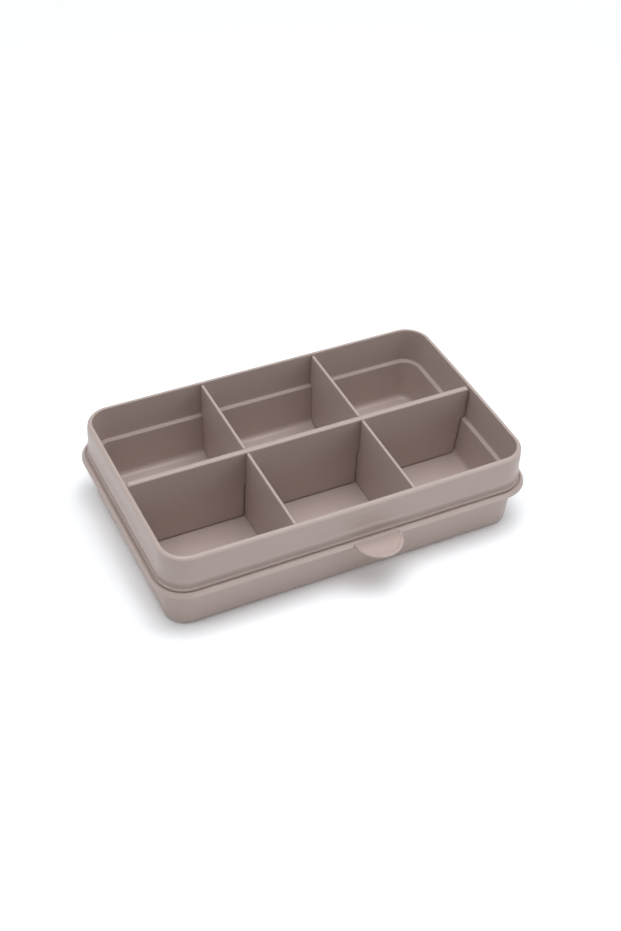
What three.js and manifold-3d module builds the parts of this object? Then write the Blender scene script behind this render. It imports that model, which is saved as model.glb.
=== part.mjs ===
// Snack box: a flanged base shell with a thumb tab, a compartment tray that nests in it,
// and a lift-out grid of three slotted divider plates.
// Millimetres. +X runs along the length, -Y is the front with the tab, +Z is up, and the
// origin is the centre of the base's underside.
import * as THREE from "three";
import { ParametricGeometry } from "three/addons/geometries/ParametricGeometry.js";
import { mergeVertices } from "three/addons/utils/BufferGeometryUtils.js";
import Module from "manifold-3d";

const wasm = await Module();
wasm.setup();

// Overall sizes, measured outside the tray's rim
const rimLength = 180;
const rimWidth = 108;
const boxHeight = 44;
const rimCornerRadius = 12.3;

// Clearances between the pieces, and the overrun of every cut
const restGap = 0.3;
const footGap = 0.65; // between the tray's foot and the side of the shell's rebate
const slotGap = 0.2;
const cutOverrun = 1;

// Tray: depths are taken down from the rim
const rimWall = 2.1;
const rimOuterRadius = 1.5;
const rimInnerRadius = 0.3;
const shoulderDepth = 4.4;
const shoulderFlare = 0.4;
const bandDepth = 14.6;
const bandFlare = 0.4;
const beadReach = 0.55; // beyond the band above it
const beadHeight = 1;
const beadSlope = 1.7;
const beadEdgeRadius = 0.35;
const neckRecess = 0.8;
const footDepth = 18.4;
const footSlope = 0.6;
const ledgeDepth = 18.6;
const trayWall = 1.6;
const trayFloorRadius = 3;

// Base shell
const shellWall = 1.5;
const bodyInset = 0.3; // from the rim's inside to the body's side, where the bottom edge starts
const bodyDraftShare = 0.07; // how much the sides lean out per unit of height
const bodyEdgeRadius = 2.6;
const flangeDepth = 18.8;
const flangeThickness = 1.8;
const flangeReach = 6; // beyond the rim's inside
const flangeBevelWidth = 1.3;
const flangeBevelHeight = 1.5;
const flangeEdgeRadius = 0.15;
const flangeRootDrop = 2.4;
const rebateReach = 3.85;
const rebateDepth = 1.2;
const rebateBevel = 0.6;

// Lip under the flange's edge, with a break at the tab and one at the right corner
const lipWidth = 1;
const lipHeight = 0.2;
const lipTabBreak = 31.2;
const lipCornerBreakStart = 64.5;
const lipCornerBreakWidth = 14;

// Thumb tab, a half disc that carries on the flange
const tabOffset = 9.4; // from the middle of the front
const tabRadius = 11.7;
const tabStep = 0.25; // how far its face lies below the flange's top
const tabBorder = 1.1;
const tabDish = 0.3;

// Divider plates
const longThickness = 2.9;
const longTopDepth = 0.35;
const longCornerRadius = 1.8;
const longEdgeRadius = 0.8;
const shortThickness = 1.5;
const shortTopDepth = 0.7;
const shortCornerRadius = 0.7;
const shortEdgeRadius = 0.5;
const dividerSpacing = 59; // between the two short plates

// Facet counts
const cornerSteps = 10;
const edgeSteps = 4;
const tabSteps = 28;

const plasticColour = new THREE.Color(0.62, 0.56, 0.53);

// The rim's inside is the contour from which every offset is taken
const halfLength = rimLength / 2 - rimWall;
const halfWidth = rimWidth / 2 - rimWall;
const contourRadius = rimCornerRadius - rimWall;

// Heights over the table
const beadBottom = boxHeight - bandDepth;
const beadTop = beadBottom + beadHeight;
const footTop = boxHeight - footDepth;
const ledgeHeight = boxHeight - ledgeDepth;
const flangeTop = boxHeight - flangeDepth;
const flangeBottom = flangeTop - flangeThickness;
const seatHeight = flangeTop - rebateDepth;
const trayBottom = shellWall + restGap;
const trayFloorTop = trayBottom + trayWall;
const dividerBottom = trayFloorTop + restGap;

// Offsets of the sloping sides at a height
const shellOutside = (z) => (z - bodyEdgeRadius) * bodyDraftShare - bodyInset;
const shellInside = (z) => shellOutside(z) - shellWall;
const trayOutside = (z) => shellInside(z) - restGap;
const trayInside = (z) => trayOutside(z) - trayWall;

// A corner of a section: an offset outwards from the contour, a height, and how round it is
const at = (offset, z, radius = 0) => ({ offset, z, radius });

// A point of a section on the box's middle axis, level with the corner beside it
const onAxis = (z) => ({ onAxis: true, offset: -contourRadius, z, radius: 0 });

// The arc that rounds a corner, tangent to the sides on which its neighbours lie
function cornerArc(before, corner, after) {
  const point = new THREE.Vector2(corner.offset, corner.z);
  const back = new THREE.Vector2(before.offset, before.z).sub(point).normalize();
  const onward = new THREE.Vector2(after.offset, after.z).sub(point).normalize();
  const half = back.angleTo(onward) / 2;
  const toCentre = corner.radius / Math.sin(half);
  const toSide = corner.radius / Math.tan(half);
  const centre = back.clone().add(onward).setLength(toCentre).add(point);
  const first = point.clone().addScaledVector(back, toSide).sub(centre);
  const last = point.clone().addScaledVector(onward, toSide).sub(centre);
  const turn = Math.atan2(first.cross(last), first.dot(last));
  return Array.from({ length: edgeSteps + 1 }, (_, i) => {
    const place = first.clone().add(centre).rotateAround(centre, (turn * i) / edgeSteps);
    return at(place.x, place.y);
  });
}

// A section with its round corners as arcs
function rounded(corners) {
  return corners.flatMap((corner, i) =>
    corner.radius > 0 ? cornerArc(corners[i - 1], corner, corners[i + 1]) : [corner],
  );
}

// Carries a section round the rounded rectangle of the contour
function sweep(section) {
  const perCorner = cornerSteps + 1;
  const slices = 4 * perCorner;
  const stacks = section.length - 1;
  const place = (u, v, target) => {
    const index = Math.round(u * slices) % slices;
    const corner = Math.floor(index / perCorner);
    const angle = ((corner + (index % perCorner) / cornerSteps) * Math.PI) / 2;
    const point = section[Math.round(v * stacks)];
    if (point.onAxis) return target.set(0, 0, point.z);
    const radius = contourRadius + point.offset;
    const sideX = corner === 0 || corner === 3 ? 1 : -1;
    const sideY = corner < 2 ? 1 : -1;
    return target.set(
      sideX * (halfLength - contourRadius) + radius * Math.cos(angle),
      sideY * (halfWidth - contourRadius) + radius * Math.sin(angle),
      point.z,
    );
  };
  return new ParametricGeometry(place, slices, stacks);
}

// A closed geometry as a solid that can be joined and cut
function solidOf(geometry) {
  const plain = geometry.clone().deleteAttribute("normal").deleteAttribute("uv");
  const merged = mergeVertices(plain);
  const corners = merged.index.array;
  const kept = [];
  for (let i = 0; i < corners.length; i += 3) {
    const [a, b, c] = corners.slice(i, i + 3);
    if (a !== b && b !== c && c !== a) kept.push(a, b, c);
  }
  return new wasm.Manifold(
    new wasm.Mesh({
      numProp: 3,
      vertProperties: merged.attributes.position.array,
      triVerts: new Uint32Array(kept),
    }),
  );
}

// A named mesh from a solid
function meshOf(name, solid, material) {
  const made = solid.getMesh();
  const geometry = new THREE.BufferGeometry();
  geometry.setAttribute("position", new THREE.BufferAttribute(made.vertProperties, 3));
  geometry.setIndex(new THREE.BufferAttribute(made.triVerts, 1));
  geometry.computeVertexNormals();
  const mesh = new THREE.Mesh(geometry, material);
  mesh.name = name;
  return mesh;
}

// A box between two corners
function block(low, high) {
  const [width, depth, height] = high.map((value, i) => value - low[i]);
  const geometry = new THREE.BoxGeometry(width, depth, height);
  return solidOf(geometry.translate(low[0] + width / 2, low[1] + depth / 2, low[2] + height / 2));
}

// The whole box is moulded in one warm grey plastic with a matt face
function mattPlastic() {
  return new THREE.MeshStandardMaterial({ color: plasticColour, roughness: 0.6, metalness: 0 });
}

// Shell's section: bottom, rounded edge, leaning side, flange, rebate for the tray, inside
function shellSection() {
  const rootHeight = flangeBottom - flangeRootDrop;
  return rounded([
    onAxis(0),
    at(shellOutside(0), 0, bodyEdgeRadius),
    at(shellOutside(rootHeight), rootHeight),
    at(flangeReach, flangeBottom, flangeEdgeRadius),
    at(flangeReach, flangeTop - flangeBevelHeight),
    at(flangeReach - flangeBevelWidth, flangeTop),
    at(rebateReach + rebateBevel / 2, flangeTop),
    at(rebateReach, flangeTop - rebateBevel),
    at(rebateReach, seatHeight),
    at(shellInside(seatHeight), seatHeight),
    at(shellInside(shellWall), shellWall, bodyEdgeRadius - shellWall),
    onAxis(shellWall),
  ]);
}

// The lip under the flange's edge, flush with its face, before its breaks are cut
function flangeLip() {
  const inner = flangeReach - lipWidth;
  const top = flangeTop - flangeBevelHeight;
  const bottom = flangeBottom - lipHeight;
  const corners = [at(inner, bottom), at(flangeReach, bottom), at(flangeReach, top), at(inner, top)];
  return solidOf(sweep([...corners, corners[0]]));
}

// What is cut out of the lip: a stretch at the tab and the front right corner
function lipBreaks() {
  const front = -(halfWidth + flangeReach);
  const bottom = flangeBottom - lipHeight - cutOverrun;
  const tabBreak = block(
    [tabOffset - lipTabBreak / 2, front - cutOverrun, bottom],
    [tabOffset + lipTabBreak / 2, 0, flangeTop],
  );
  const cornerBreak = block(
    [lipCornerBreakStart, front - cutOverrun, bottom],
    [halfLength + flangeReach + cutOverrun, front + lipCornerBreakWidth, flangeTop],
  );
  return tabBreak.add(cornerBreak);
}

// A half disc that lies flat, its straight side reaching back by an overlap
function halfDisc(radius, overlap, bottom, top) {
  const outline = new THREE.Shape();
  outline.moveTo(-radius, overlap);
  outline.lineTo(-radius, 0);
  outline.absarc(0, 0, radius, Math.PI, 2 * Math.PI, false);
  outline.lineTo(radius, overlap);
  const options = { depth: top - bottom, bevelEnabled: false, curveSegments: tabSteps };
  return new THREE.ExtrudeGeometry(outline, options).translate(0, 0, bottom);
}

// The tab, with a dished face inside a raised border
function thumbTab() {
  const face = flangeTop - tabStep;
  const root = flangeThickness / 2;
  const disc = solidOf(halfDisc(tabRadius, root, flangeBottom, face));
  const dish = solidOf(halfDisc(tabRadius - tabBorder, 0, face - tabDish, face + cutOverrun));
  return disc.subtract(dish).translate([tabOffset, -(halfWidth + flangeReach), 0]);
}

// Base shell: body, flange, lip and tab in one moulding
function baseShell() {
  const lip = flangeLip().subtract(lipBreaks());
  const solid = solidOf(sweep(shellSection())).add(lip).add(thumbTab());
  return meshOf("base_shell", solid, mattPlastic());
}

// Tray's section: bottom, lower wall, foot on the shell's seat, neck, bead, band, rim, inside
function traySection() {
  const footBottom = seatHeight + restGap;
  const footReach = rebateReach - footGap;
  const bandReach = rimWall + bandFlare;
  const bead = bandReach + beadReach;
  const neck = bead - neckRecess;
  return rounded([
    onAxis(trayBottom),
    at(trayOutside(trayBottom), trayBottom, bodyEdgeRadius - shellWall - restGap),
    at(trayOutside(footBottom), footBottom),
    at(footReach, footBottom),
    at(footReach, footTop),
    at(neck, footTop + footSlope),
    at(neck, beadBottom),
    at(bead, beadBottom, beadEdgeRadius),
    at(bead, beadTop),
    at(bandReach, beadTop + beadSlope),
    at(rimWall + shoulderFlare, boxHeight - shoulderDepth),
    at(rimWall, boxHeight, rimOuterRadius),
    at(0, boxHeight, rimInnerRadius),
    at(0, ledgeHeight),
    at(trayInside(ledgeHeight), ledgeHeight),
    at(trayInside(trayFloorTop), trayFloorTop, trayFloorRadius),
    onAxis(trayFloorTop),
  ]);
}

// Compartment tray: drops into the shell and stands on its seat
function compartmentTray() {
  return meshOf("compartment_tray", solidOf(sweep(traySection())), mattPlastic());
}

// The two kinds of divider plate
const longPlate = {
  halfSpan: halfLength,
  top: boxHeight - longTopDepth,
  thickness: longThickness,
  cornerRadius: longCornerRadius,
  edgeRadius: longEdgeRadius,
};
const shortPlate = {
  halfSpan: halfWidth,
  top: boxHeight - shortTopDepth,
  thickness: shortThickness,
  cornerRadius: shortCornerRadius,
  edgeRadius: shortEdgeRadius,
};

// A divider plate's outline, as long as the tray is inside and narrower under the ledge
function dividerOutline({ halfSpan, top, cornerRadius: round }) {
  const upper = halfSpan - restGap;
  const shoulder = ledgeHeight + restGap;
  const lowerTop = halfSpan + trayInside(ledgeHeight) - restGap;
  const edgeHeight = trayFloorTop + trayFloorRadius;
  const lowerBottom = halfSpan + trayInside(edgeHeight) - restGap;
  const outline = new THREE.Shape();
  outline.moveTo(-(lowerBottom - trayFloorRadius), dividerBottom);
  outline.lineTo(lowerBottom - trayFloorRadius, dividerBottom);
  outline.quadraticCurveTo(lowerBottom, dividerBottom, lowerBottom, edgeHeight);
  outline.lineTo(lowerTop, shoulder);
  outline.lineTo(upper, shoulder);
  outline.absarc(upper - round, top - round, round, 0, Math.PI / 2, false);
  outline.absarc(-(upper - round), top - round, round, Math.PI / 2, Math.PI, false);
  outline.lineTo(-upper, shoulder);
  outline.lineTo(-lowerTop, shoulder);
  outline.lineTo(-lowerBottom, edgeHeight);
  outline.quadraticCurveTo(-lowerBottom, dividerBottom, -(lowerBottom - trayFloorRadius), dividerBottom);
  return outline;
}

// A divider plate with rounded edges that stands upright along X
function dividerPlate(plate) {
  const { thickness, edgeRadius } = plate;
  const options = {
    depth: thickness - 2 * edgeRadius,
    curveSegments: edgeSteps,
    bevelThickness: edgeRadius,
    bevelSize: edgeRadius,
    bevelOffset: -edgeRadius,
    bevelSegments: edgeSteps,
  };
  const flat = new THREE.ExtrudeGeometry(dividerOutline(plate), options);
  return flat.rotateX(Math.PI / 2).translate(0, thickness / 2 - edgeRadius, 0);
}

// The height at which the slots of crossing plates meet
const slotMeet = (dividerBottom + shortPlate.top) / 2;

// Long plate: its slots open downwards, over the short plates
function longDivider() {
  const halfSlot = shortThickness / 2 + slotGap;
  const slotTop = slotMeet + restGap / 2;
  let solid = solidOf(dividerPlate(longPlate));
  for (const side of [-1, 1]) {
    const middle = (side * dividerSpacing) / 2;
    const slot = block(
      [middle - halfSlot, -longThickness / 2 - cutOverrun, dividerBottom - cutOverrun],
      [middle + halfSlot, longThickness / 2 + cutOverrun, slotTop],
    );
    solid = solid.subtract(slot);
  }
  return meshOf("long_divider", solid, mattPlastic());
}

// Short plate: its slot opens upwards and takes the long plate
function shortDivider(name, side) {
  const halfSlot = longThickness / 2 + slotGap;
  const slotBottom = slotMeet - restGap / 2;
  const plate = dividerPlate(shortPlate).rotateZ(Math.PI / 2);
  const slot = block(
    [-shortThickness / 2 - cutOverrun, -halfSlot, slotBottom],
    [shortThickness / 2 + cutOverrun, halfSlot, shortPlate.top + cutOverrun],
  );
  const mesh = meshOf(name, solidOf(plate).subtract(slot), mattPlastic());
  mesh.position.x = (side * dividerSpacing) / 2;
  return mesh;
}

const snackBox = new THREE.Group();
snackBox.add(
  baseShell(),
  compartmentTray(),
  longDivider(),
  shortDivider("short_divider_left", -1),
  shortDivider("short_divider_right", 1),
);

export default snackBox;
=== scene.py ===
"""Snack box: a matt plastic box with a nested tray and a lift-out divider grid.

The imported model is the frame. Each of its solids is replaced by a fine surface of the same sizes,
in metres, +X along the length, -Y the front with the thumb tab, +Z up.
"""

import math

import bmesh
import bpy
import numpy as np
from bpy.props import FloatProperty, FloatVectorProperty, PointerProperty
from bpy.types import Operator, Panel, PropertyGroup
from mathutils import Matrix, Vector


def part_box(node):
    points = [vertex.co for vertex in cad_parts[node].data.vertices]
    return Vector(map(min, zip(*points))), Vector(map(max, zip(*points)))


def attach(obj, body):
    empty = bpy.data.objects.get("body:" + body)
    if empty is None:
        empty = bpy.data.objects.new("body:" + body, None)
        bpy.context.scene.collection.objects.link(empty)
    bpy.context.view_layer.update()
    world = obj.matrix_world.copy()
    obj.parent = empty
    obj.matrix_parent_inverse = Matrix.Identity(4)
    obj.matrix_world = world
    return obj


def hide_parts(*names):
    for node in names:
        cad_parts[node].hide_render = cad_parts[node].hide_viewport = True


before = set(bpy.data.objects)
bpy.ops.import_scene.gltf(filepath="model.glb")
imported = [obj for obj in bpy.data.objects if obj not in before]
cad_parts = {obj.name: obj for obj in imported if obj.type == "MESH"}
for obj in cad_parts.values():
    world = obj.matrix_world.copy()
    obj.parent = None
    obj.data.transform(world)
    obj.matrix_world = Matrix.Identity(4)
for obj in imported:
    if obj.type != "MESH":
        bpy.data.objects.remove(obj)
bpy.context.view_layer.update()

bl_info = {
    "name": "Snack box",
    "version": (1, 0, 0),
    "blender": (4, 5, 0),
    "location": "3D View > Sidebar > Snack box",
    "description": "Builds a divided snack box and the stage it is shown on",
    "category": "Object",
}

TRAY_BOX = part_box("compartment_tray")
SHELL_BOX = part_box("base_shell")
LONG_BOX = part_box("long_divider")
SHORT_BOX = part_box("short_divider_right")

# Pixels of the photograph's frame, from which the lens is worked out
FRAME_HEIGHT_PX = 931
FOCAL_LENGTH_PX = 1474
SENSOR_WIDTH = 36.0

# Meshes: points nearer than this are one, and edges sharper than this stay sharp
MERGE_DISTANCE = 1e-7
SHARP_ANGLE = math.radians(35)

# A floor's outermost ring lies this share of the contour's radius inside it, and the others at
# these shares of the way from its middle
FLOOR_INSET = 0.8
CAP_SHARES = np.array([0.0, 0.5, 0.85])

# The lip: metres between its sections, metres over which an end fades, and its size at the end
LIP_STEP = 0.0008
LIP_FADE = 0.003
LIP_END_SHARE = 0.3

# Steps round the thumb tab, and over the rounded edge of a plate
TAB_STEPS = 48
PLATE_EDGE_STEPS = 5

# In shares of a plate's edge radius: its corners' radius, and the border of its two faces
PLATE_CORNER = 1.1
PLATE_BORDER = 0.06

# The Mix node's sockets for colours, which share their names with those for numbers
MIX_FACTOR, MIX_FIRST_COLOUR, MIX_SECOND_COLOUR, MIX_COLOUR_RESULT = 0, 6, 7, 2

# Metres that the floor lies under the box, so that the two never share a plane
FLOOR_DROP = 0.00005


def length(name, description, default):
    """A size that a user can change, in metres."""
    return FloatProperty(
        name=name, description=description, default=default, min=0.0, precision=5, unit="LENGTH"
    )


def move(name, description, default):
    """A move to either side that a user can change, in metres."""
    return FloatProperty(name=name, description=description, default=default, unit="LENGTH")


def share(name, description, default, top=1.0):
    """A plain factor that a user can change."""
    return FloatProperty(name=name, description=description, default=default, min=0.0, max=top)


def angle(name, description, default):
    """An angle that a user can change, given in degrees and kept in radians."""
    return FloatProperty(
        name=name, description=description, default=math.radians(default), subtype="ANGLE"
    )


def colour(name, description, default):
    """A colour that a user can change."""
    return FloatVectorProperty(
        name=name, description=description, default=default, subtype="COLOR", min=0.0, max=1.0
    )


class SNACKBOX_PG_sizes(PropertyGroup):
    """Sizes of the mouldings. Reaches are taken outwards from the inside of the rim."""

    rim_wall: length("Rim wall", "Wall at the rim", 0.0021)
    contour_radius: length("Contour radius", "Plan radius of the rim's inside", 0.0102)
    rim_outer_edge: length("Rim outer edge", "Radius of the rim's outer edge", 0.0017)
    rim_inner_edge: length("Rim inner edge", "Radius of the rim's inner edge", 0.00025)
    shoulder_depth: length("Shoulder depth", "How far down the rim's shoulder leans out", 0.0044)
    shoulder_flare: length("Shoulder flare", "How far it leans out", 0.0004)
    shoulder_round: length("Shoulder round", "Radius between shoulder and band", 0.008)
    band_flare: length("Band flare", "How much further the band stands out below", 0.0004)
    band_depth: length("Band depth", "Rim down to the underside of the band's bead", 0.0146)
    bead_reach: length("Bead reach", "How far the bead stands out from the band", 0.00055)
    bead_height: length("Bead height", "Height of the bead's face", 0.001)
    bead_slope: length("Bead slope", "Height over which the band runs out to the bead", 0.0017)
    bead_edge: length("Bead edge", "Radius of the bead's lower edge", 0.00035)
    bead_top_edge: length("Bead top edge", "Radius of the bead's upper edge", 0.0007)
    bead_blend: length("Bead blend", "Radius where the bead starts", 0.0016)
    neck_recess: length("Neck recess", "Depth of the groove under the bead", 0.0008)
    foot_gap: length("Foot gap", "Clearance beside the tray's foot", 0.00065)
    foot_depth: length("Foot depth", "Rim down to the edge of the tray's foot", 0.0184)
    foot_rest: length("Foot rest", "Seam under the tray's foot", 0.00005)
    foot_slope: length("Foot slope", "How much the foot rises to the groove", 0.0006)
    ledge_depth: length("Ledge depth", "Rim down to the ledge inside", 0.0186)
    ledge_edge: length("Ledge edge", "Radius of the ledge's two edges", 0.0005)
    tray_wall: length("Tray wall", "Lower wall and floor of the tray", 0.0016)
    tray_floor_edge: length("Tray floor edge", "Radius between floor and wall inside", 0.003)
    shell_wall: length("Shell wall", "Wall and floor of the base shell", 0.0015)
    body_inset: length("Body inset", "From the rim's inside to the body's side, low down", 0.0003)
    body_draft: share("Body draft", "How much the sides lean out per unit of height", 0.07)
    body_edge: length("Body edge", "Radius of the bottom edge", 0.0025)
    flange_reach: length("Flange reach", "Outer edge of the flange", 0.006)
    flange_thickness: length("Flange thickness", "Thickness of the flange's edge", 0.0018)
    flange_bevel_width: length("Flange bevel width", "Width of the slope at its outer edge", 0.0012)
    flange_bevel_height: length("Flange bevel height", "Height of that slope", 0.0017)
    flange_crest: length("Flange crest", "Radius between its top and the slope", 0.0002)
    flange_blend: length("Flange blend", "Radius between body and flange", 0.0015)
    flange_edge: length("Flange edge", "Radius of its lower edge", 0.0001)
    flange_root_drop: length("Flange root drop", "How far the flange's underside slopes down", 0.0024)
    rebate_reach: length("Rebate reach", "Outer side of the groove that takes the tray", 0.00385)
    rebate_depth: length("Rebate depth", "Depth of that groove", 0.0007)
    rebate_edge: length("Rebate edge", "Radius of that groove's upper edge", 0.00055)
    rebate_corner: length("Rebate corner", "Radius in that groove's lower corner", 0.000125)
    rest_gap: length("Rest gap", "Clearance between nested mouldings", 0.0003)
    fine_edge: length("Fine edge", "Radius of small moulded edges", 0.00025)
    lip_width: length("Lip width", "Width of the lip under the flange's edge", 0.001)
    lip_height: length("Lip height", "How far the lip hangs down", 0.0002)
    lip_edge: length("Lip edge", "Radius of the lip's edges", 0.0001)
    lip_proud: length("Lip proud", "How far the lip stands out from the flange", 0.00002)
    lip_tab_break: length("Lip break", "Length without lip at the tab", 0.0312)
    lip_corner_break: length("Lip corner break", "Where the lip stops before the corner", 0.0645)
    lip_corner_resume: length("Lip resume", "Depth from the front where it goes on", 0.014)
    tab_offset: length("Tab offset", "Tab's middle from the middle of the front", 0.0094)
    tab_step: length("Tab step", "Tab's border below the flange's top", 0.0006)
    tab_border: length("Tab border", "Width of the raised border", 0.0013)
    tab_dish: length("Tab dish", "Depth of the dished face", 0.0003)
    tab_edge: length("Tab edge", "Radius of the tab's edges", 0.0006)
    long_corner: length("Long corner", "Radius of the long plate's upper corners", 0.0018)
    long_edge: length("Long edge", "Radius along the long plate's edges", 0.00085)
    short_corner: length("Short corner", "Radius of a short plate's upper corners", 0.0007)
    short_edge: length("Short edge", "Radius along a short plate's edges", 0.00055)
    slot_gap: length("Slot gap", "Clearance beside a plate in a slot", 0.0002)
    plate_spacing: length("Plate spacing", "Between the two cross plates", 0.059)
    front_bow: length("Front bow", "How far the rim's front side bows out", 0.0007)
    back_bow: length("Back bow", "How far the rim's back side bows out", 0.00005)
    left_bow: length("Left bow", "How far the rim's left side bows out", 0.0002)
    right_bow: length("Right bow", "How far the rim's right side bows out", 0.0005)


class SNACKBOX_PG_finish(PropertyGroup):
    """The plastic's colour and the texture of its moulded face."""

    plastic: colour("Plastic", "Colour of the plastic", (0.525, 0.430, 0.398))
    shade: colour("Shade", "Darker tone of its faint clouding", (0.500, 0.407, 0.375))
    speck: colour("Speck", "Colour of the small fibre specks", (0.30, 0.235, 0.205))
    cloud_size: length("Cloud size", "Size of the clouding", 0.011)
    cloud_contrast: share("Cloud contrast", "How fully the clouding reaches both tones", 0.9)
    speck_spacing: length("Speck spacing", "Distance between possible specks", 0.0042)
    speck_share: share("Speck share", "Share of the places that hold a speck", 0.16)
    speck_size: share("Speck size", "Reach of the largest speck, in shares of the spacing", 0.22)
    speck_strength: share("Speck strength", "How much of its own colour a speck shows", 0.5)
    grain_size: length("Grain size", "Size of the fine moulded grain", 0.0005)
    grain_height: length("Grain height", "Height of the fine moulded grain", 0.000016)
    wave_size: length("Wave size", "Size of the slight waviness of the walls", 0.016)
    wave_height: length("Wave height", "Height of that waviness", 0.00004)
    roughness: share("Roughness", "Mean roughness of the matt face", 0.36)
    roughness_spread: share("Roughness spread", "Change of roughness over the grain", 0.12)
    refraction: share("Refraction", "Index of refraction of the plastic", 1.46, 3.0)


class SNACKBOX_PG_stage(PropertyGroup):
    """Camera, light and floor."""

    azimuth: angle("Azimuth", "Camera's direction round the box, 0 looks along +Y", -28.34)
    elevation: angle("Elevation", "Camera's height angle", 42.02)
    roll: angle("Roll", "Camera's turn about its view", 3.46)
    distance: length("Distance", "Camera to the middle of the rim", 0.6822)
    shift_right: move("Move right", "Sideways place of the camera", 0.00274)
    shift_up: move("Move up", "Upward place of the camera", -0.01515)
    sky: share("Sky", "Strength of the even light all round", 0.12, 5.0)
    top_light: share("Top light", "Light of the lamp overhead", 0.33, 5.0)
    left_light: share("Left light", "Light of the high lamp on the left", 0.29, 5.0)
    right_light: share("Right light", "Light of the high lamp on the right", 0.35, 5.0)
    low_left_light: share("Low left light", "Light of the low lamp on the left", 0.14, 5.0)
    low_front_light: share("Low front light", "Light of the low lamp in front", 0.18, 5.0)
    high_size: length("High size", "Side of each high lamp", 1.0)
    low_size: length("Low size", "Side of each low lamp", 0.6)
    lamp_distance: length("Lamp distance", "From each lamp to the box", 1.3)
    high_elevation: angle("High elevation", "Height angle of the high lamps", 70.0)
    low_elevation: angle("Low elevation", "Height angle of the low lamps", 13.0)
    low_left_azimuth: angle("Low left azimuth", "Direction of the low lamp on the left", -108.0)
    low_front_azimuth: angle("Low front azimuth", "Direction of the low lamp in front", 22.0)
    floor_size: length("Floor size", "Side of the floor", 6.0)
    floor_tone: share("Floor tone", "How pale the floor is", 0.9)
    seen_tone: share("Seen tone", "How pale the floor looks to the camera", 1.36, 2.0)
    seen_tint: colour("Seen tint", "Its faint tint", (0.935, 0.97, 1.0))
    fade_start: length("Fade start", "Where the floor starts to fade into white", 0.35)
    fade_end: length("Fade end", "Where the floor has become white", 0.7)


def unit_vectors(vectors):
    """Each row divided by its length."""
    return vectors / np.linalg.norm(vectors, axis=-1, keepdims=True)


def rounded_path(corners, closed, arc_steps=8, line_steps=6):
    """A path through corners, each rounded by its own radius, as points and outward normals.

    A corner turns by the angle between its two sides. Its arc starts at radius times the tangent
    of half the turn before the corner, and its centre lies a radius to the side it turns to. A
    point of the arc is the centre less that radius times the left normal of the heading, which
    goes evenly from the first side to the second. Straight stretches are divided evenly.
    """
    corners = np.asarray(corners, dtype=float)
    points, radii = corners[:, :2], corners[:, 2]
    sides = np.roll(points, -1, axis=0) - points
    if not closed:
        sides[-1] = sides[-2]
    leaving = unit_vectors(sides)
    arriving = np.roll(leaving, 1, axis=0)
    if not closed:
        arriving[0] = leaving[0]
    cross = arriving[:, 0] * leaving[:, 1] - arriving[:, 1] * leaving[:, 0]
    turn = np.arctan2(cross, np.sum(arriving * leaving, axis=1))
    reach = radii * np.tan(np.abs(turn) / 2)
    signed = radii * np.sign(turn)
    left = np.stack([-arriving[:, 1], arriving[:, 0]], axis=1)
    centre = points - arriving * reach[:, None] + left * signed[:, None]
    step = np.linspace(0, 1, arc_steps + 1)
    heading = np.arctan2(arriving[:, 1], arriving[:, 0])[:, None] + turn[:, None] * step
    arc_left = np.stack([-np.sin(heading), np.cos(heading)], axis=2)
    arcs = centre[:, None] - arc_left * signed[:, None, None]
    ends = arcs[:, -1]
    starts = np.roll(arcs[:, 0], -1, axis=0)
    along = (np.arange(1, line_steps + 1) / (line_steps + 1))[None, :, None]
    lines = ends[:, None] + (starts - ends)[:, None] * along
    line_left = np.repeat(arc_left[:, -1:], line_steps, axis=1)
    path = np.concatenate([arcs, lines], axis=1).reshape(-1, 2)
    normals = -np.concatenate([arc_left, line_left], axis=1).reshape(-1, 2)
    if not closed:
        path, normals = path[:-line_steps], normals[:-line_steps]
    return path, normals


class Contour:
    """The inside of the rim seen from above: a rounded rectangle, followed anticlockwise.

    Along its length the direction it faces stays the same on a straight and turns evenly round a
    corner, while the centre it turns about does the opposite, so both are piecewise straight
    functions of the distance along it.
    """

    def __init__(self, sizes):
        foot_reach = sizes.rebate_reach - sizes.foot_gap
        self.half_length = TRAY_BOX[1].x - foot_reach
        self.half_width = TRAY_BOX[1].y - foot_reach
        self.radius = sizes.contour_radius
        self.centre_x = self.half_length - self.radius
        self.centre_y = self.half_width - self.radius
        arc = self.radius * math.pi / 2
        pieces = [2 * self.centre_y, arc, 2 * self.centre_x, arc] * 2
        self.breaks = np.concatenate([[0], np.cumsum(pieces)])
        self.turns = np.array([0, 0, 1, 1, 2, 2, 3, 3, 4]) * math.pi / 2
        self.sides_x = np.array([1, 1, 1, -1, -1, -1, -1, 1, 1]) * self.centre_x
        self.sides_y = np.array([-1, 1, 1, 1, 1, -1, -1, -1, -1]) * self.centre_y

    def stations(self, straight_steps=16, corner_steps=22):
        """Distances along the contour, evenly spread over each straight and each corner."""
        counts = [straight_steps, corner_steps] * 4
        spans = zip(self.breaks[:-1], self.breaks[1:], counts)
        return np.concatenate([np.linspace(a, b, n, endpoint=False) for a, b, n in spans])

    def front(self, x):
        """The distance along the contour at a place x on its front side."""
        return self.breaks[6] + x + self.centre_x

    def at(self, distance, offset):
        """Points at distances along the contour, moved outwards by an offset."""
        place = np.mod(distance, self.breaks[-1])
        facing = np.interp(place, self.breaks, self.turns)
        x = np.interp(place, self.breaks, self.sides_x) + (self.radius + offset) * np.cos(facing)
        y = np.interp(place, self.breaks, self.sides_y) + (self.radius + offset) * np.sin(facing)
        return x, y


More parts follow.
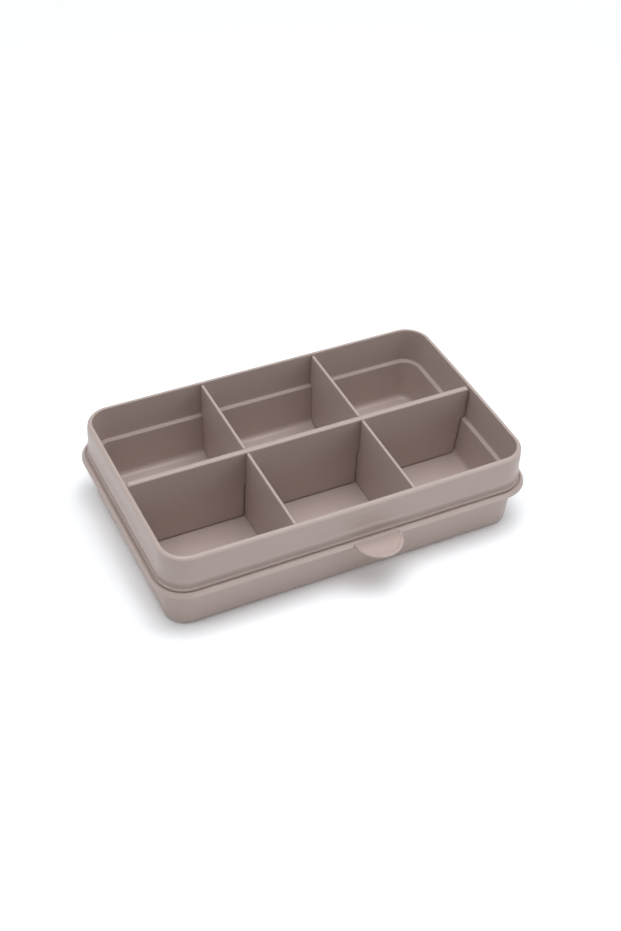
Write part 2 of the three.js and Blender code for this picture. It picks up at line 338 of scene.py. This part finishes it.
def bowed(points, sizes, levels, contour):
    """Points of the tray and its plates, moved out where the rim's sides bow.

    A side's point moves straight outwards by the side's bow, times one less the square of its
    place along the side, times the square of its share of the way from the middle to the side,
    times its share of the height from the ledge to the rim.
    """
    along_x = points[..., 0] / contour.half_length
    along_y = points[..., 1] / contour.half_width
    rise = np.clip((points[..., 2] - levels.ledge) / (levels.rim - levels.ledge), 0, 1)
    crown_x = np.clip(1 - along_x**2, 0, 1)
    crown_y = np.clip(1 - along_y**2, 0, 1)
    bow_x = np.where(along_x > 0, sizes.right_bow, sizes.left_bow) * np.sign(along_x)
    bow_y = np.where(along_y > 0, sizes.back_bow, sizes.front_bow) * np.sign(along_y)
    moved = points.copy()
    moved[..., 0] += bow_x * crown_y * along_x**2 * rise
    moved[..., 1] += bow_y * crown_x * along_y**2 * rise
    return moved


def grid_faces(rows, columns, wrap):
    """Quads between neighbouring rows and columns of a grid, the last column met by the first."""
    row = np.arange(rows - 1)[:, None]
    column = np.arange(columns if wrap else columns - 1)[None, :]
    after = (column + 1) % columns
    low, high = row * columns, (row + 1) * columns
    quads = np.stack([low + column, low + after, high + after, high + column], axis=-1)
    return quads.reshape(-1, 4).tolist()


def end_faces(rows, columns):
    """The two faces that close a grid's first and last row, facing away from each other."""
    first = list(range(columns))
    return [first[::-1], [(rows - 1) * columns + place for place in first]]


def turned_over(faces):
    """The same faces, each followed the other way round, so that they face the other way."""
    return [face[::-1] for face in faces]


def new_piece(name, points, faces, body):
    """A named mesh object that rides on a body, smooth apart from its sharp edges."""
    mesh = bpy.data.meshes.new(name)
    mesh.from_pydata(points.reshape(-1, 3).tolist(), [], faces)
    mesh.polygons.foreach_set("use_smooth", np.ones(len(mesh.polygons), dtype=bool))
    work = bmesh.new()
    work.from_mesh(mesh)
    bmesh.ops.remove_doubles(work, verts=work.verts, dist=MERGE_DISTANCE)
    work.to_mesh(mesh)
    work.free()
    mesh.set_sharp_from_angle(angle=SHARP_ANGLE)
    piece = bpy.data.objects.new(name, mesh)
    bpy.context.scene.collection.objects.link(piece)
    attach(piece, body)
    piece.data.materials.append(matt_plastic())
    return piece


def carried_round(corners, contour):
    """A section carried round the contour, closed to the middle at its first and last point.

    A point is the contour's point moved outwards by the section's offset, at the section's height.
    The rings that close the two floors are the first and last ring, each drawn in to a share of
    its distance from the middle.
    """
    section, _ = rounded_path(corners, closed=False)
    rings = (len(CAP_SHARES), 1)
    section = np.concatenate([np.tile(section[0], rings), section, np.tile(section[-1], rings)])
    offset, height = section[:, 0], section[:, 1]
    whole = np.ones(len(section) - 2 * len(CAP_SHARES))
    shares = np.concatenate([CAP_SHARES, whole, CAP_SHARES[::-1]])
    stations = contour.stations()
    x, y = contour.at(stations[None, :], offset[:, None])
    z = np.broadcast_to(height[:, None], x.shape)
    points = np.stack([x * shares[:, None], y * shares[:, None], z], axis=-1)
    return points, grid_faces(len(height), len(stations), wrap=True)


class Levels:
    """Heights and leaning sides that several pieces share."""

    def __init__(self, sizes):
        self.sizes = sizes
        self.rim = TRAY_BOX[1].z
        self.flange_top = SHELL_BOX[1].z
        self.flange_bottom = self.flange_top - sizes.flange_thickness
        self.seat = self.flange_top - sizes.rebate_depth
        self.ledge = self.rim - sizes.ledge_depth
        self.tray_bottom = TRAY_BOX[0].z
        self.tray_floor = self.tray_bottom + sizes.tray_wall
        self.floor_start = -FLOOR_INSET * sizes.contour_radius

    def shell_outside(self, z):
        """The side's offset: the height over the bottom edge times the draft, less the inset."""
        return (z - self.sizes.body_edge) * self.sizes.body_draft - self.sizes.body_inset

    def shell_inside(self, z):
        """The side's offset less the shell's wall."""
        return self.shell_outside(z) - self.sizes.shell_wall

    def tray_outside(self, z):
        """The shell's inside less the clearance."""
        return self.shell_inside(z) - self.sizes.rest_gap

    def tray_inside(self, z):
        """The tray's outside less its wall."""
        return self.tray_outside(z) - self.sizes.tray_wall


def shell_corners(sizes, levels):
    """Corners of the shell's section, bottom to inside floor: offset, height, radius."""
    root = levels.flange_bottom - sizes.flange_root_drop
    edge = sizes.flange_reach - sizes.lip_proud
    inner_edge = sizes.body_edge - sizes.shell_wall
    return [
        (levels.floor_start, 0, 0),
        (levels.shell_outside(0), 0, sizes.body_edge),
        (levels.shell_outside(root), root, sizes.flange_blend),
        (edge, levels.flange_bottom, sizes.flange_edge),
        (edge, levels.flange_top - sizes.flange_bevel_height, sizes.flange_edge),
        (edge - sizes.flange_bevel_width, levels.flange_top, sizes.flange_crest),
        (sizes.rebate_reach, levels.flange_top, sizes.rebate_edge),
        (sizes.rebate_reach, levels.seat, sizes.rebate_corner),
        (levels.shell_inside(levels.seat), levels.seat, sizes.fine_edge),
        (levels.shell_inside(sizes.shell_wall), sizes.shell_wall, inner_edge),
        (levels.floor_start, sizes.shell_wall, 0),
    ]


def tray_corners(sizes, levels):
    """Corners of the tray's section, bottom to inside floor: offset, height, radius."""
    foot_bottom = levels.seat + sizes.foot_rest
    foot_top = levels.rim - sizes.foot_depth
    foot_reach = sizes.rebate_reach - sizes.foot_gap
    bead_bottom = levels.rim - sizes.band_depth
    bead_top = bead_bottom + sizes.bead_height
    band = sizes.rim_wall + sizes.band_flare
    bead = band + sizes.bead_reach
    neck = bead - sizes.neck_recess
    shoulder = sizes.rim_wall + sizes.shoulder_flare
    fine = sizes.fine_edge
    outer_edge = sizes.body_edge - sizes.shell_wall - sizes.rest_gap
    return [
        (levels.floor_start, levels.tray_bottom, 0),
        (levels.tray_outside(levels.tray_bottom), levels.tray_bottom, outer_edge),
        (levels.tray_outside(foot_bottom), foot_bottom, fine),
        (foot_reach, foot_bottom, fine),
        (foot_reach, foot_top, fine),
        (neck, foot_top + sizes.foot_slope, fine),
        (neck, bead_bottom, fine),
        (bead, bead_bottom, sizes.bead_edge),
        (bead, bead_top, sizes.bead_top_edge),
        (band, bead_top + sizes.bead_slope, sizes.bead_blend),
        (shoulder, levels.rim - sizes.shoulder_depth, sizes.shoulder_round),
        (sizes.rim_wall, levels.rim, sizes.rim_outer_edge),
        (0, levels.rim, sizes.rim_inner_edge),
        (0, levels.ledge, sizes.ledge_edge),
        (levels.tray_inside(levels.ledge), levels.ledge, sizes.ledge_edge),
        (levels.tray_inside(levels.tray_floor), levels.tray_floor, sizes.tray_floor_edge),
        (levels.floor_start, levels.tray_floor, 0),
    ]


def lip_run(contour, sizes, levels, start, end):
    """A stretch of lip: a section with small round corners, carried along the contour.

    Towards both ends the section is drawn in to its middle, which lies inside the flange, by a
    smooth step of the distance to the nearer end, so that the lip runs out into the flange.
    """
    inner = sizes.flange_reach - sizes.lip_width
    top = levels.flange_top - sizes.flange_bevel_height
    bottom = levels.flange_bottom - sizes.lip_height
    corners = [(inner, bottom), (sizes.flange_reach, bottom), (sizes.flange_reach, top), (inner, top)]
    rounded = [(offset, height, sizes.lip_edge) for offset, height in corners]
    section, _ = rounded_path(rounded, closed=True, arc_steps=5, line_steps=2)
    middle = section.mean(axis=0)
    stations = np.linspace(start, end, 1 + int((end - start) / LIP_STEP))
    nearer = np.clip(np.minimum(stations - start, end - stations) / LIP_FADE, 0, 1)
    grown = LIP_END_SHARE + (1 - LIP_END_SHARE) * nearer * nearer * (3 - 2 * nearer)
    place = middle + (section - middle)[None] * grown[:, None, None]
    x, y = contour.at(stations[:, None], place[..., 0])
    count = section.shape[0]
    faces = grid_faces(len(stations), count, wrap=True) + end_faces(len(stations), count)
    return np.stack([x, y, place[..., 1]], axis=-1), turned_over(faces)


def tab_surface(contour, sizes, levels):
    """The thumb tab: a section from its middle to its edge, carried round a half disc.

    The section goes out along the underside, up the rounded edge, over the border and back along
    the dished face, which lies the dish's depth lower. The path is a half circle with a short
    straight at both ends that reaches into the flange: a point is the path's centre plus the
    section's distance times the direction it faces.
    """
    edge_y = -(contour.half_width + sizes.flange_reach)
    radius = edge_y - SHELL_BOX[0].y
    border = levels.flange_top - sizes.tab_step
    face = border - sizes.tab_dish
    bottom = levels.flange_bottom - sizes.lip_height
    dish_edge = radius - sizes.tab_border
    soft = sizes.tab_dish
    corners = [
        (0, bottom, 0),
        (radius, bottom, sizes.tab_edge),
        (radius, border, sizes.tab_edge),
        (dish_edge, border, soft),
        (dish_edge - sizes.tab_dish, face, soft),
        (0, face, 0),
    ]
    section, _ = rounded_path(corners, closed=False)
    reach = sizes.flange_thickness / 2
    bend = np.linspace(math.pi, 2 * math.pi, TAB_STEPS + 1)
    facing = np.concatenate([[math.pi], bend, [2 * math.pi]])
    back = np.concatenate([[reach], np.zeros(len(bend)), [reach]])
    x = sizes.tab_offset + np.cos(facing)[:, None] * section[None, :, 0]
    y = edge_y + back[:, None] + np.sin(facing)[:, None] * section[None, :, 0]
    z = np.broadcast_to(section[None, :, 1], x.shape)
    count = section.shape[0]
    faces = grid_faces(len(facing), count, wrap=False)
    faces += end_faces(len(facing), count)
    return np.stack([x, y, z], axis=-1), turned_over(faces)


def plate_corners(sizes, levels, half_span, top, bottom, corner, edge, slots):
    """Corners of a divider plate seen from its side, anticlockwise: along, height, radius.

    slots holds, for each slot, its middle, half width and inner end, and whether it opens down.
    Corners that stand out are rounder than the plate's edge, so that it can be drawn in there.
    """
    upper = half_span - sizes.rest_gap
    shoulder = levels.ledge + sizes.rest_gap
    lower_top = half_span + levels.tray_inside(levels.ledge) - sizes.rest_gap
    lower = half_span + levels.tray_inside(bottom) - sizes.rest_gap
    fine, foot = edge * PLATE_CORNER, sizes.tray_floor_edge
    tight = fine / 2
    right = [(lower, bottom, foot), (lower_top, shoulder, tight), (upper, shoulder, fine)]
    crown = [(upper, top, corner), (-upper, top, corner)]
    left = [(-upper, shoulder, fine), (-lower_top, shoulder, tight), (-lower, bottom, foot)]
    below, above = [], []
    for middle, half, end, opens_down in sorted(slots):
        side, mouth, run = (1, bottom, below) if opens_down else (-1, top, above)
        start, stop = middle - side * half, middle + side * half
        run += [(start, mouth, fine), (start, end, tight), (stop, end, tight), (stop, mouth, fine)]
    return below + right + crown[:1] + above + crown[1:] + left


def plate_surface(corners, thickness, edge):
    """A plate with rounded edges: its outline drawn in and stepped across the thickness.

    Across the thickness an angle goes from a quarter turn one way to a quarter turn the other,
    with the flat middle between. The outline is drawn in along its normals by the edge radius
    times one less the angle's cosine, and its depth is half the flat part to that side plus the
    radius times the angle's sine. The outermost ring on each side is drawn in a little more, in
    the plane of its face, so that the face shades evenly up to the rounding. Returns points as
    along, depth, height.
    """
    outline, normals = rounded_path(corners, closed=True, arc_steps=6, line_steps=4)
    quarter = np.append(np.linspace(0, math.pi / 2, PLATE_EDGE_STEPS + 1), math.pi / 2)
    turn = np.concatenate([-quarter[::-1], quarter])
    flat = np.repeat([-1.0, 1.0], len(quarter)) * (thickness / 2 - edge)
    inset = edge * (1 - np.cos(turn))
    inset[[0, -1]] += edge * PLATE_BORDER
    place = outline[None] - inset[:, None, None] * normals[None]
    depth = np.broadcast_to((flat + edge * np.sin(turn))[:, None], place.shape[:2])
    points = np.stack([place[..., 0], depth, place[..., 1]], axis=-1)
    count = outline.shape[0]
    faces = grid_faces(len(turn), count, wrap=True) + end_faces(len(turn), count)
    return points, turned_over(faces)


class Socket:
    """A value in a material's node tree, on which arithmetic adds Math nodes."""

    def __init__(self, build, output):
        self.build = build
        self.output = output

    def _math(self, operation, first, second):
        node = self.build.node("ShaderNodeMath", {"operation": operation}, {0: first, 1: second})
        return Socket(self.build, node.outputs[0])

    def __add__(self, other):
        return self._math("ADD", self, other)

    def __sub__(self, other):
        return self._math("SUBTRACT", self, other)

    def __mul__(self, other):
        return self._math("MULTIPLY", self, other)

    def __rsub__(self, other):
        return self._math("SUBTRACT", other, self)

    def __lt__(self, other):
        return self._math("LESS_THAN", self, other)

    __radd__ = __add__
    __rmul__ = __mul__


class NodeBuild:
    """A node tree that is written as expressions."""

    def __init__(self, tree):
        self.tree = tree
        tree.nodes.clear()

    def node(self, kind, settings=None, values=None):
        """A node of a kind, its settings made first, then its sockets' values or links."""
        node = self.tree.nodes.new(kind)
        for name, value in (settings or {}).items():
            setattr(node, name, value)
        for name, value in (values or {}).items():
            source = value.output if isinstance(value, Socket) else value
            if isinstance(source, bpy.types.NodeSocket):
                self.tree.links.new(source, node.inputs[name])
            else:
                node.inputs[name].default_value = source
        return node

    def value(self, kind, settings=None, values=None, output=0):
        """One output of a new node, as a value for arithmetic."""
        return Socket(self, self.node(kind, settings, values).outputs[output])

    def noise(self, vector, size, detail=2.0):
        """Noise around zero, whose features have a size in metres."""
        inputs = {"Vector": vector, "Scale": 1 / size, "Detail": detail}
        return self.value("ShaderNodeTexNoise", {}, inputs) - 0.5

    def mix_colour(self, factor, first, second):
        """A blend of two colours."""
        sockets = {MIX_FACTOR: factor, MIX_FIRST_COLOUR: first, MIX_SECOND_COLOUR: second}
        return self.value("ShaderNodeMix", {"data_type": "RGBA"}, sockets, MIX_COLOUR_RESULT)


def matt_plastic():
    """Matt moulded plastic: faint clouding, sparse small specks, fine grain and slight waves."""
    known = bpy.data.materials.get("matt_plastic")
    if known:
        return known
    finish = bpy.context.scene.snack_box_finish
    material = bpy.data.materials.new("matt_plastic")
    material.use_nodes = True
    build = NodeBuild(material.node_tree)
    place = build.node("ShaderNodeTexCoord").outputs["Object"]
    cloud = build.noise(place, finish.cloud_size, 3.0)
    grain = build.noise(place, finish.grain_size, 3.0)
    wave = build.noise(place, finish.wave_size, 1.0)
    spacing = {"Vector": place, "Scale": 1 / finish.speck_spacing}
    cells = build.node("ShaderNodeTexVoronoi", {}, spacing)
    chance = build.value("ShaderNodeSeparateColor", {}, {"Color": cells.outputs["Color"]})
    near = Socket(build, cells.outputs["Distance"]) < chance * finish.speck_size
    speck = near * (chance < finish.speck_share)
    plastic, shade, dark = ((*tone, 1) for tone in (finish.plastic, finish.shade, finish.speck))
    clouded = build.mix_colour(cloud * finish.cloud_contrast + 0.5, plastic, shade)
    specked = build.mix_colour(speck * finish.speck_strength, clouded, dark)
    height = grain * finish.grain_height + wave * finish.wave_height
    bump = build.node("ShaderNodeBump", {}, {"Height": height, "Distance": 1.0, "Strength": 1.0})
    rough = grain * finish.roughness_spread + finish.roughness
    looks = {"Base Color": specked, "Roughness": rough, "Normal": bump.outputs["Normal"]}
    shader = build.node("ShaderNodeBsdfPrincipled", {}, {**looks, "IOR": finish.refraction})
    build.node("ShaderNodeOutputMaterial", {}, {"Surface": shader.outputs[0]})
    return material


class SNACKBOX_OT_base(Operator):
    """Build the base shell: body and flange, the lip under its edge and the thumb tab"""

    bl_idname = "snackbox.base"
    bl_label = "Base shell"

    def execute(self, context):
        sizes = context.scene.snack_box_sizes
        contour, levels = Contour(sizes), Levels(sizes)
        points, faces = carried_round(shell_corners(sizes, levels), contour)
        shell = new_piece("base_moulding", points, faces, "base")
        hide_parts("base_shell")
        tab = contour.front(sizes.tab_offset)
        half_break = sizes.lip_tab_break / 2
        short_end = contour.front(sizes.lip_corner_break)
        resume_y = sizes.lip_corner_resume - (contour.half_width + sizes.flange_reach)
        resume = resume_y + contour.centre_y
        runs = {
            "flange_lip_short": (tab + half_break, short_end),
            "flange_lip_long": (resume, tab - half_break),
        }
        for name, (start, end) in runs.items():
            points, faces = lip_run(contour, sizes, levels, start, end)
            new_piece(name, points, faces, "base")
        points, faces = tab_surface(contour, sizes, levels)
        new_piece("thumb_tab", points, faces, "base")
        return {"FINISHED"}


class SNACKBOX_OT_tray(Operator):
    """Build the compartment tray: rim, band, neck, foot and the deep part in the shell"""

    bl_idname = "snackbox.tray"
    bl_label = "Compartment tray"

    def execute(self, context):
        sizes = context.scene.snack_box_sizes
        contour, levels = Contour(sizes), Levels(sizes)
        points, faces = carried_round(tray_corners(sizes, levels), contour)
        tray = new_piece("tray_moulding", bowed(points, sizes, levels, contour), faces, "tray")
        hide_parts("compartment_tray")
        return {"FINISHED"}


class SNACKBOX_OT_dividers(Operator):
    """Build the three slotted divider plates"""

    bl_idname = "snackbox.dividers"
    bl_label = "Divider grid"

    def execute(self, context):
        sizes = context.scene.snack_box_sizes
        contour, levels = Contour(sizes), Levels(sizes)
        bottom = LONG_BOX[0].z
        long_top, short_top = LONG_BOX[1].z, SHORT_BOX[1].z
        meet = (bottom + short_top) / 2
        thick = LONG_BOX[1].y - LONG_BOX[0].y
        thin = SHORT_BOX[1].x - SHORT_BOX[0].x
        half_slot = thin / 2 + sizes.slot_gap
        slots = [
            (side * sizes.plate_spacing / 2, half_slot, meet + sizes.rest_gap / 2, True)
            for side in (-1, 1)
        ]
        half_length, half_width = contour.half_length, contour.half_width
        corner, edge = sizes.long_corner, sizes.long_edge
        corners = plate_corners(sizes, levels, half_length, long_top, bottom, corner, edge, slots)
        points, faces = plate_surface(corners, thick, edge)
        points = bowed(points, sizes, levels, contour)
        plate = new_piece("long_plate_moulding", points, faces, "long_plate")
        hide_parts("long_divider")
        slot = [(0.0, thick / 2 + sizes.slot_gap, meet - sizes.rest_gap / 2, False)]
        corner, edge = sizes.short_corner, sizes.short_edge
        corners = plate_corners(sizes, levels, half_width, short_top, bottom, corner, edge, slot)
        points, faces = plate_surface(corners, thin, edge)
        for side, word in ((-1, "left"), (1, "right")):
            middle = side * sizes.plate_spacing / 2
            turned = np.stack([middle - points[..., 1], points[..., 0], points[..., 2]], axis=-1)
            turned = bowed(turned, sizes, levels, contour)
            plate = new_piece(f"short_plate_{word}_moulding", turned, faces, f"{word}_plate")
            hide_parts(f"short_divider_{word}")
        return {"FINISHED"}


def direction(azimuth, elevation):
    """The unit vector from the box towards a direction, azimuth 0 being in front of it."""
    flat = math.cos(elevation)
    return Vector((math.sin(azimuth) * flat, -math.cos(azimuth) * flat, math.sin(elevation)))


def seen_by_camera(build):
    """One where a ray comes from the camera, a mirror or a clear body, nought elsewhere."""
    path = build.node("ShaderNodeLightPath")
    names = ("Is Camera Ray", "Is Glossy Ray", "Is Transmission Ray")
    camera, glossy, clear = (Socket(build, path.outputs[name]) for name in names)
    return camera + glossy + clear


def make_floor(stage):
    """A pale floor that keeps the box's soft shadow and fades into white far from it."""
    half = stage.floor_size / 2
    corners = [(-half, -half), (half, -half), (half, half), (-half, half)]
    mesh = bpy.data.meshes.new("floor")
    mesh.from_pydata([(x, y, -FLOOR_DROP) for x, y in corners], [], [(0, 1, 2, 3)])
    floor = bpy.data.objects.new("floor", mesh)
    bpy.context.scene.collection.objects.link(floor)
    material = bpy.data.materials.new("pale_floor")
    material.use_nodes = True
    build = NodeBuild(material.node_tree)
    seen = seen_by_camera(build)
    pale = [stage.seen_tone * part for part in stage.seen_tint]
    tone = build.mix_colour(seen, (*[stage.floor_tone] * 3, 1), (*pale, 1))
    matt = build.node("ShaderNodeBsdfDiffuse", {}, {"Color": tone})
    place = build.node("ShaderNodeTexCoord").outputs["Object"]
    away = build.value("ShaderNodeVectorMath", {"operation": "LENGTH"}, {0: place}, output=1)
    reach = {"Value": away, "From Min": stage.fade_start, "From Max": stage.fade_end}
    far = build.value("ShaderNodeMapRange", {"interpolation_type": "SMOOTHSTEP"}, reach)
    white = build.node("ShaderNodeEmission")
    ends = {0: seen * far, 1: matt.outputs[0], 2: white.outputs[0]}
    mixed = build.node("ShaderNodeMixShader", {}, ends)
    build.node("ShaderNodeOutputMaterial", {}, {"Surface": mixed.outputs[0]})
    mesh.materials.append(material)


def make_sky(stage):
    """Even light all round, which the camera sees as white."""
    world = bpy.data.worlds.new("even_light")
    world.use_nodes = True
    build = NodeBuild(world.node_tree)
    seen = seen_by_camera(build)
    strength = seen * (1 - stage.sky) + stage.sky
    back = build.node("ShaderNodeBackground", {}, {"Color": (1, 1, 1, 1), "Strength": strength})
    build.node("ShaderNodeOutputWorld", {}, {"Surface": back.outputs[0]})
    bpy.context.scene.world = world


def make_lamp(name, stage, middle, light, size, azimuth, elevation):
    """A soft square lamp that faces the box.

    A white face turned to a lamp of power P at distance d looks as bright as P over the square of
    pi times d, so the power for a light of 1 is the square of pi times d.
    """
    data = bpy.data.lights.new(name, "AREA")
    data.size = size
    data.energy = light * (math.pi * stage.lamp_distance) ** 2
    lamp = bpy.data.objects.new(name, data)
    towards = direction(azimuth, elevation)
    lamp.location = middle + towards * stage.lamp_distance
    lamp.rotation_mode = "QUATERNION"
    lamp.rotation_quaternion = (-towards).to_track_quat("-Z", "Y")
    bpy.context.scene.collection.objects.link(lamp)


def make_lamps(stage, middle):
    """Three high lamps and two low ones."""
    left, front, right, overhead = -math.pi / 2, 0.0, math.pi / 2, math.pi / 2
    high, low = stage.high_elevation, stage.low_elevation
    large, small = stage.high_size, stage.low_size
    make_lamp("top_lamp", stage, middle, stage.top_light, large, front, overhead)
    make_lamp("left_lamp", stage, middle, stage.left_light, large, left, high)
    make_lamp("right_lamp", stage, middle, stage.right_light, large, right, high)
    low_left, low_front = stage.low_left_azimuth, stage.low_front_azimuth
    make_lamp("low_left_lamp", stage, middle, stage.low_left_light, small, low_left, low)
    make_lamp("low_front_lamp", stage, middle, stage.low_front_light, small, low_front, low)


def make_camera(stage, middle):
    """The camera at the photograph's viewing angle, turned a little about its view."""
    data = bpy.data.cameras.new("camera")
    data.sensor_width = SENSOR_WIDTH
    data.lens = SENSOR_WIDTH * FOCAL_LENGTH_PX / FRAME_HEIGHT_PX
    camera = bpy.data.objects.new("camera", data)
    back = direction(stage.azimuth, stage.elevation)
    level = Vector((0, 0, 1)).cross(back).normalized()
    upright = back.cross(level)
    turn = Matrix.Rotation(stage.roll, 3, back)
    right, up = turn @ level, turn @ upright
    camera.matrix_world = Matrix.Translation(
        middle + right * stage.shift_right + up * stage.shift_up + back * stage.distance
    ) @ Matrix((right, up, back)).transposed().to_4x4()
    bpy.context.scene.collection.objects.link(camera)
    bpy.context.scene.camera = camera


class SNACKBOX_OT_stage(Operator):
    """Set up the pale floor, the soft light and the camera"""

    bl_idname = "snackbox.stage"
    bl_label = "Stage"

    def execute(self, context):
        stage = context.scene.snack_box_stage
        middle = Vector((0, 0, TRAY_BOX[1].z))
        make_floor(stage)
        make_sky(stage)
        make_lamps(stage, middle)
        make_camera(stage, middle)
        context.scene.view_settings.view_transform = "Standard"
        return {"FINISHED"}


class SNACKBOX_PT_panel(Panel):
    """Sizes, finish, stage and build steps of the snack box"""

    bl_idname = "SNACKBOX_PT_panel"
    bl_label = "Snack box"
    bl_space_type = "VIEW_3D"
    bl_region_type = "UI"
    bl_category = "Snack box"

    def draw(self, context):
        for operator in OPERATORS:
            self.layout.operator(operator.bl_idname)
        for name in GROUPS:
            group = getattr(context.scene, name)
            column = self.layout.column(align=True)
            for key in group.__annotations__:
                column.prop(group, key)


GROUPS = {
    "snack_box_sizes": SNACKBOX_PG_sizes,
    "snack_box_finish": SNACKBOX_PG_finish,
    "snack_box_stage": SNACKBOX_PG_stage,
}
OPERATORS = (SNACKBOX_OT_base, SNACKBOX_OT_tray, SNACKBOX_OT_dividers, SNACKBOX_OT_stage)
CLASSES = (*GROUPS.values(), *OPERATORS, SNACKBOX_PT_panel)


def register():
    """Make the classes and the scene's groups known to Blender."""
    for item in CLASSES:
        bpy.utils.register_class(item)
    for name, group in GROUPS.items():
        setattr(bpy.types.Scene, name, PointerProperty(type=group))


def unregister():
    """Take the groups and classes away again."""
    for name in GROUPS:
        delattr(bpy.types.Scene, name)
    for item in reversed(CLASSES):
        bpy.utils.unregister_class(item)


def main():
    """Build every piece and the stage."""
    register()
    bpy.ops.snackbox.base()
    bpy.ops.snackbox.tray()
    bpy.ops.snackbox.dividers()
    bpy.ops.snackbox.stage()


if __name__ == "__main__":
    main()
